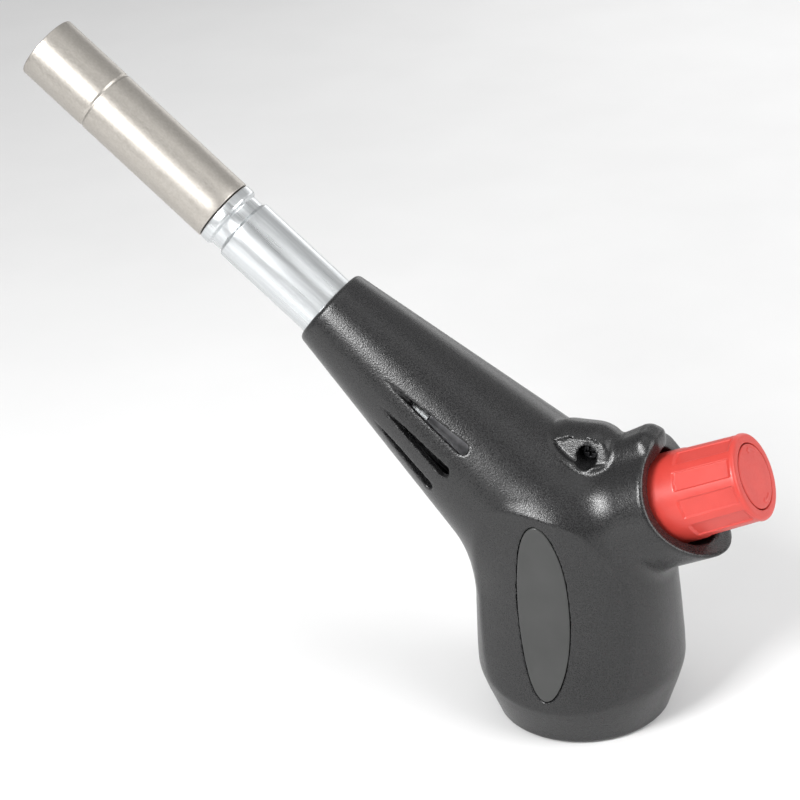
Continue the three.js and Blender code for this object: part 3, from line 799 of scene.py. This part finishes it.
def flame_tube():
    start, end, r = along("flame_tube", TUBE_AXIS)
    bead, shoulder, bore = end - 25.6, start + 10.7, 10.2
    spigot_r, spigot_bore = 8.5, 7.6
    outline = [
        (spigot_bore, start), (spigot_r, start), (spigot_r, shoulder - 2.2, 0.6), (9.5, shoulder - 1.5),
        (9.5, shoulder), (r, shoulder + 0.1, 0.5), (r, bead - 0.75, 0.3), (r - 0.3, bead, 0.5),
        (r, bead + 0.75, 0.3), (r, end, 0.5), (bore, end, 0.35), (bore, bead + 0.8), (bore - 0.25, bead),
        (bore, bead - 0.8), (bore, shoulder + 1.7), (spigot_bore, shoulder - 1.3), (spigot_bore, start),
    ]
    obj = turned("flame_tube_rolled", refined(filleted(outline, 0.2, 4), 3), TUBE_PLACE, 160)
    stand_for(sharpen(obj, 50), "flame_tube")


def flame_holder():
    start, end, r = along("flame_holder", TUBE_AXIS)
    cup_r, disc_t = 7.5, 6
    centre_hole_r = 1.8
    hole_rings = ((4.1, 6, 1.0), (7.0, 10, 0.9))  # radius, number of holes and their radius
    outline = [(0, start), (r, start), (r, end), (cup_r, end), (cup_r, start + disc_t), (0, start + disc_t)]
    obj = turned("flame_holder_disc", refined(filleted(outline, 0.4, 3), 1.5), TUBE_PLACE, 96)
    tools = [rod_tool(centre_hole_r, start - 1, end, TUBE_PLACE)]
    for ring_r, count, size in hole_rings:
        for i in range(count):
            a = i / count * 2 * math.pi
            at = (ring_r * math.cos(a), ring_r * math.sin(a))
            tools.append(rod_tool(size, start - 1, end, TUBE_PLACE, at, 20))
    drilled(obj, tools)
    stand_for(sharpen(obj, 40), "flame_holder")


def mixing_venturi():
    r, lip, start, end = 9.5, 9.2, 78, 112
    outline = [
        (lip, start), (r, start), (r, end), (lip, end), (5, 96, 3), (4.6, 91, 4), (5.4, 86, 3),
        (lip, start),
    ]
    outline = refined(filleted(outline, 0.1, 5), 2)
    stand_for(turned("mixing_venturi_cone", outline, TUBE_PLACE, 96), "mixing_venturi")


def burner_socket():
    r, snug, seat = 12.6, 11.15, 45.7
    stem_bore, stem_r, stem_from, stem_to = 7.8, 9.6, 12.2, 22
    outline = [
        (stem_bore, stem_from), (stem_r, stem_from), (stem_r, stem_to, 1), (r, stem_to, 0.8), (r, 56, 0.8),
        (snug, 56), (snug, seat), (8.4, seat), (8.4, 42.5, 0.6), (10.6, 42.5, 0.6), (10.6, 25, 0.6),
        (6.6, 25), (6.6, stem_to), (stem_bore, stem_to), (stem_bore, stem_from),
    ]
    obj = turned("burner_socket_casting", refined(filleted(outline, 0.25, 3), 2), TUBE_PLACE, 96)
    low, high = (-20.0, -6.5, 26.3), (20.0, 6.5, 41.3)  # the air openings in its sides
    corners = list(product(*zip(low, high)))
    sides = [[0, 1, 3, 2], [4, 6, 7, 5], [0, 4, 5, 1], [2, 3, 7, 6], [0, 2, 6, 4], [1, 5, 7, 3]]
    drilled(obj, [add_mesh("tool", corners, sides, TUBE_PLACE)])
    stand_for(sharpen(obj, 40), "burner_socket")


# ---------------------------------------------------------------- knob
FLUTE = dict(  # first, width and side_soft are in degrees
    count=10, first=265.7, width=24.0, side_soft=0.7, start=48.3, end_soft=0.25, depth=0.7, ring=1.8,
)


def knob_flutes(r, z, theta):
    """Shallow flat-bottomed recesses in the grip, between its plain base and its end ring."""
    end = along("knob", KNOB_AXIS)[1]
    side_soft, end_soft = FLUTE["side_soft"], FLUTE["end_soft"]
    outer_from = 12.9  # the grip's outer face lies beyond this radius
    pitch = 360 / FLUTE["count"]
    angle = np.degrees(theta) - FLUTE["first"]
    off = np.abs((angle + pitch / 2) % pitch - pitch / 2)
    across = 1 - smoothstep(off, FLUTE["width"] / 2 - side_soft, FLUTE["width"] / 2 + side_soft)
    stop = smoothstep(z, FLUTE["start"] - end_soft, FLUTE["start"] + end_soft)
    stop = stop * (1 - smoothstep(z, end - FLUTE["ring"] - end_soft, end - FLUTE["ring"] + end_soft))
    sunk = r - (r - FLUTE["depth"]) / np.cos(np.radians(off))
    return r - np.where(r > outer_from, sunk * across * stop, 0), z


def knob():
    start, end, _ = along("knob", KNOB_AXIS)
    base_r, end_r, wall_r = 14.7, 13.8, 12.2
    hub_from, hub_r, hub_bore = start + 0.5, 5.6, 3.5
    seat, roof = end - 2.4, end - 5.5
    outline = [
        (wall_r, start), (base_r, start, 0.6), (end_r, end, 1.6), (10.75, end, 0.25),
        (10.5, end - 0.5), (10.5, seat), (3.6, seat), (3.6, 56), (1.9, 55.6), (1.9, 50.6), (hub_bore, 50.6),
        (hub_bore, hub_from), (hub_r, hub_from), (hub_r, roof), (wall_r, roof), (wall_r, start),
    ]
    outline = filleted(outline, 0.2, 5)
    obj = turned("knob_moulding", refined(outline, 0.4), KNOB_PLACE, 720, knob_flutes)
    stand_for(sharpen(obj, 55), "knob")


def knob_cap():
    """The end disc, with two small raised turning arrows."""
    start, end, r = along("knob_cap", KNOB_AXIS)
    arrow_r, arrow_rise = 8.2, 0.22
    arrow_places = ((145, 1), (8, -1))  # angle round the disc in degrees, and the way it points

    def arrows(rr, z, theta):
        out = 0
        for degrees, way in arrow_places:
            t = (theta - math.radians(degrees) + math.pi) % (2 * math.pi) - math.pi
            arc = rr * t * way
            off = np.abs(rr - arrow_r)
            shaft = (1 - smoothstep(off, 0.22, 0.42)) * (1 - smoothstep(np.abs(arc), 1.9, 2.1))
            head_half = np.clip(3.4 - arc, 0, 1.5) * 0.75
            head = (1 - smoothstep(off - head_half, -0.1, 0.1)) * smoothstep(arc, 1.8, 2.0)
            head = head * (1 - smoothstep(arc, 3.3, 3.45))
            out = np.maximum(out, np.maximum(shaft, head))
        return rr, z + np.where(z > end - 0.3, arrow_rise * out, 0)

    outline = [(0, start), (r, start), (r, end, 0.5), (0, end)]
    obj = turned("knob_cap_disc", refined(filleted(outline, 0.15, 4), 0.14), KNOB_PLACE, 420, arrows)
    stand_for(sharpen(obj, 55), "knob_cap")


def knob_screw():
    shank_r, head_r, tip, head_from = 1.5, 3, 44, 54.3
    outline = [
        (0, tip), (shank_r, tip), (shank_r, head_from), (head_r, head_from), (head_r, 56.2, 0.6),
        (1.4, 56.6), (1.1, 55.2), (0, 55),
    ]
    outline = refined(filleted(outline, 0.15), 0.6)
    cut = thread(pitch=0.8, depth=0.18, within=1.7)
    obj = turned("knob_screw_turned", outline, KNOB_PLACE, 64, cut)
    stand_for(sharpen(obj, 45), "knob_screw")


# ---------------------------------------------------------------- valve
def thread(pitch, depth, within, outside=0.0, stretch=None):
    """A screw thread on the surfaces nearer the axis than within and further than outside, between the two
    heights of stretch if it is given."""

    def cut(r, z, theta):
        turns = (z / pitch - theta / (2 * math.pi)) % 1.0
        tooth = depth * (1 - np.abs(2 * turns - 1))
        here = (r < within) & (r > outside) & (r > 0.3)
        if stretch:
            here = here & (z > stretch[0]) & (z < stretch[1])
        return r - np.where(here, tooth, 0), z

    return cut


def cartridge_connector():
    bore, r, low, floor = 5.5, 9, 16, 34
    pitch, tooth = 0.907, 0.42
    outline = [
        (bore, low), (r, low, 0.4), (r, floor, 0.2), (9.5, floor, 0.2), (9.5, 39.7), (5, 39.7), (5, 45.7),
        (2.2, 45.7), (2.2, floor), (bore, floor), (bore, low),
    ]

    def inner_thread(r, z, theta):
        turns = (z / pitch - theta / (2 * math.pi)) % 1.0
        ease = smoothstep(z, 16.4, 17.4) * (1 - smoothstep(z, 28.5, 29.5))
        here = (r > 5.2) & (r < 5.8) & (z > 16.2) & (z < 30)
        return r + np.where(here, ease * tooth * (np.abs(2 * turns - 1) - 0.5), 0), z

    outline = refined(filleted(outline, 0.3, 3), 0.22)
    obj = turned("cartridge_connector_turned", outline, CARTRIDGE_PLACE, 96, inner_thread)
    stand_for(sharpen(obj, 50), "cartridge_connector")


def connector_seal():
    outline = [(2.5, 31.2), (5.2, 31.2, 0.5), (5.2, 33.7, 0.5), (2.5, 33.7), (2.5, 31.2)]
    outline = filleted(outline, 0.5, 5)
    stand_for(turned("connector_seal_ring", outline, CARTRIDGE_PLACE, 64), "connector_seal")


def depressor_pin():
    outline = [(0, 25), (0.9, 25, 0.3), (1.1, 26), (1.1, 35), (1.8, 35), (1.8, 37), (0, 37)]
    outline = filleted(outline, 0.1)
    stand_for(turned("depressor_pin_turned", outline, CARTRIDGE_PLACE, 48), "depressor_pin")


def gas_filter():
    place = CARTRIDGE_PLACE @ Matrix.Translation(Vector((CENTRE[0] * 0.5, 0, 0)) * MM)
    outline = [(0, 46.9), (2, 46.9, 0.3), (2, 50, 0.3), (0, 50)]
    stand_for(turned("gas_filter_disc", filleted(outline, 0.3), place, 48), "gas_filter")


def valve_spindle():
    land_r, groove_r, r, end = 3.9, 2.5, 3.2, 50.3
    outline = [
        (0, 1.4), (0.5, 1.7), (0.8, 3.6), (2.2, 5), (land_r, 5.4), (land_r, 11.8), (groove_r, 11.8),
        (groove_r, 14.2), (land_r, 14.2), (land_r, 15.5), (r, 15.5), (r, end, 0.3), (1.8, end), (1.8, 43),
        (0, 42.4),
    ]
    outline = refined(filleted(outline, 0.12), 0.2)
    cut = thread(pitch=0.75, depth=0.3, within=4.0, outside=3.6, stretch=(5.8, 11.4))
    obj = turned("valve_spindle_turned", outline, KNOB_PLACE, 64, cut)
    stand_for(sharpen(obj, 45), "valve_spindle")


def spindle_o_ring():
    ring_r, cord_r, at = 3.55, 0.7, 13
    angles = np.linspace(0, 2 * math.pi, 17)
    circle = [(ring_r + cord_r * math.cos(a), at + cord_r * math.sin(a)) for a in angles]
    stand_for(turned("spindle_o_ring_torus", circle, KNOB_PLACE, 64), "spindle_o_ring")


def hexagon(flat, start, end):
    """Draws the rim of a disc in to six flats between two heights."""
    sixth = math.pi / 3

    def cut(r, z, theta):
        to_flat = flat / np.cos((theta % sixth) - sixth / 2)
        here = (z > start) & (z < end)
        return np.where(here, np.minimum(r, to_flat), r), z

    return cut


def gland_nut():
    bore, start = 4.6, 9.4
    outline = [
        (bore, start), (5.2, start), (5.2, 14.3), (7.6, 14.3, 0.1), (7.6, 19.6, 0.5), (7.0, 20), (3.5, 20),
        (3.5, 17), (bore, 17), (bore, start),
    ]
    outline = refined(filleted(outline, 0.15), 0.5)
    obj = turned("gland_nut_turned", outline, KNOB_PLACE, 96, hexagon(flat=6.58, start=14.2, end=21))
    stand_for(sharpen(obj, 40), "gland_nut")


def feed_pipe():
    outline = [
        (1.4, 8.4), (3.2, 8.4), (3.2, 16.3), (6, 16.3), (6, 21), (4, 21), (4, 44, 0.3), (2.6, 44),
        (2.6, 38), (1.4, 38), (1.4, 8.4),
    ]
    outline = refined(filleted(outline, 0.12), 0.8)
    obj = turned("feed_pipe_turned", outline, TUBE_PLACE, 96, hexagon(flat=5.2, start=16.2, end=21.1))
    stand_for(sharpen(obj, 40), "feed_pipe")


def gas_jet():
    bore, hole_r, start, tip = 0.9, 0.35, 38.3, 48.6
    outline = [
        (bore, start), (2.3, start), (2.3, 44.3), (3.6, 44.3), (3.6, 47), (1.6, tip), (hole_r, tip),
        (hole_r, 46.5), (bore, 46), (bore, start),
    ]
    outline = refined(filleted(outline, 0.1), 0.5)
    obj = turned("gas_jet_turned", outline, TUBE_PLACE, 72, hexagon(flat=3.1, start=44.2, end=47.1))
    stand_for(sharpen(obj, 40), "gas_jet")


make_housing()
label_inlay("label_inlay_left", -1)
label_inlay("label_inlay_right", 1)
housing_screw()
burner_tube()
flame_tube()
flame_holder()
mixing_venturi()
burner_socket()
knob()
knob_cap()
knob_screw()
cartridge_connector()
connector_seal()
depressor_pin()
gas_filter()
valve_spindle()
spindle_o_ring()
gland_nut()
feed_pipe()
gas_jet()


# ---------------------------------------------------------------- floor, light and camera
SURROUND = 0.46
LIT_POINT = (-20, 0, 70)
LIGHTS = {  # azimuth and elevation in degrees, distance, width and height in mm, and power in watts
    "key": (-20, 35, 900, 300, 340, 9.0),
    "rim": (176, 14, 900, 900, 300, 1.2),
    "top": (40, 84, 2600, 1800, 1800, 8.0),
    "fill": (150, 45, 1200, 1100, 1100, 0.5),
    "side": (85, 30, 1100, 800, 800, 8.75),
}


def stage_floor():
    size, z = 4000.0, -0.4
    corners = [(-size, -size, z), (size, -size, z), (size, size, z), (-size, size, z)]
    floor = add_mesh("floor", corners, [[0, 1, 2, 3]])
    f = Finish("pale_floor", (0.8, 0.8, 0.8), 0.7)
    f.color(f.noise(60, 2), (0.79, 0.79, 0.79), (0.81, 0.81, 0.81))
    floor.data.materials.append(f.material)


def way_to(azimuth, elevation):
    """Direction away from the object for angles in radians; azimuth 0 is -Y and 90 degrees is +X."""
    level = math.cos(elevation)
    return Vector((math.sin(azimuth) * level, -math.cos(azimuth) * level, math.sin(elevation)))


def softbox(name, azimuth, elevation, distance, width, height, power):
    """An area light that looks at the lit point."""
    way = way_to(math.radians(azimuth), math.radians(elevation))
    light = bpy.data.lights.new(name, "AREA")
    light.shape, light.size, light.size_y = "RECTANGLE", width * MM, height * MM
    light.energy = power
    obj = bpy.data.objects.new(name, light)
    obj.location = Vector(LIT_POINT) * MM + way * distance * MM
    obj.rotation_euler = way.to_track_quat("Z", "Y").to_euler()
    bpy.context.scene.collection.objects.link(obj)


def studio():
    world = bpy.data.worlds.new("studio")
    world.use_nodes = True
    world.node_tree.nodes["Background"].inputs["Color"].default_value = (1, 1, 1, 1)
    world.node_tree.nodes["Background"].inputs["Strength"].default_value = SURROUND
    bpy.context.scene.world = world
    bpy.context.scene.view_settings.view_transform = "Standard"
    for name, settings in LIGHTS.items():
        softbox(name, *settings)


def camera():
    """The photographed view: turned and tipped from the front, and rolled a little."""
    azimuth, elevation, roll = (math.radians(v) for v in (26.94, 25.27, 5.65))
    origin_in_view = Vector((61.24, -97.77, -777.9))  # the frame's origin: right, up and towards the camera
    back = way_to(azimuth, elevation)
    level = Vector((math.cos(azimuth), math.sin(azimuth), 0))
    above = back.cross(level)
    right = level * math.cos(roll) - above * math.sin(roll)
    up = level * math.sin(roll) + above * math.cos(roll)
    turn_to = Matrix((right, up, back)).transposed()
    data = bpy.data.cameras.new("camera")
    data.lens, data.sensor_width, data.clip_start = 105.75, 36, 0.02
    obj = bpy.data.objects.new("camera", data)
    obj.matrix_world = turn_to.to_4x4()
    obj.location = turn_to @ (-origin_in_view) * MM
    bpy.context.scene.collection.objects.link(obj)
    bpy.context.scene.camera = obj


stage_floor()
studio()
camera()
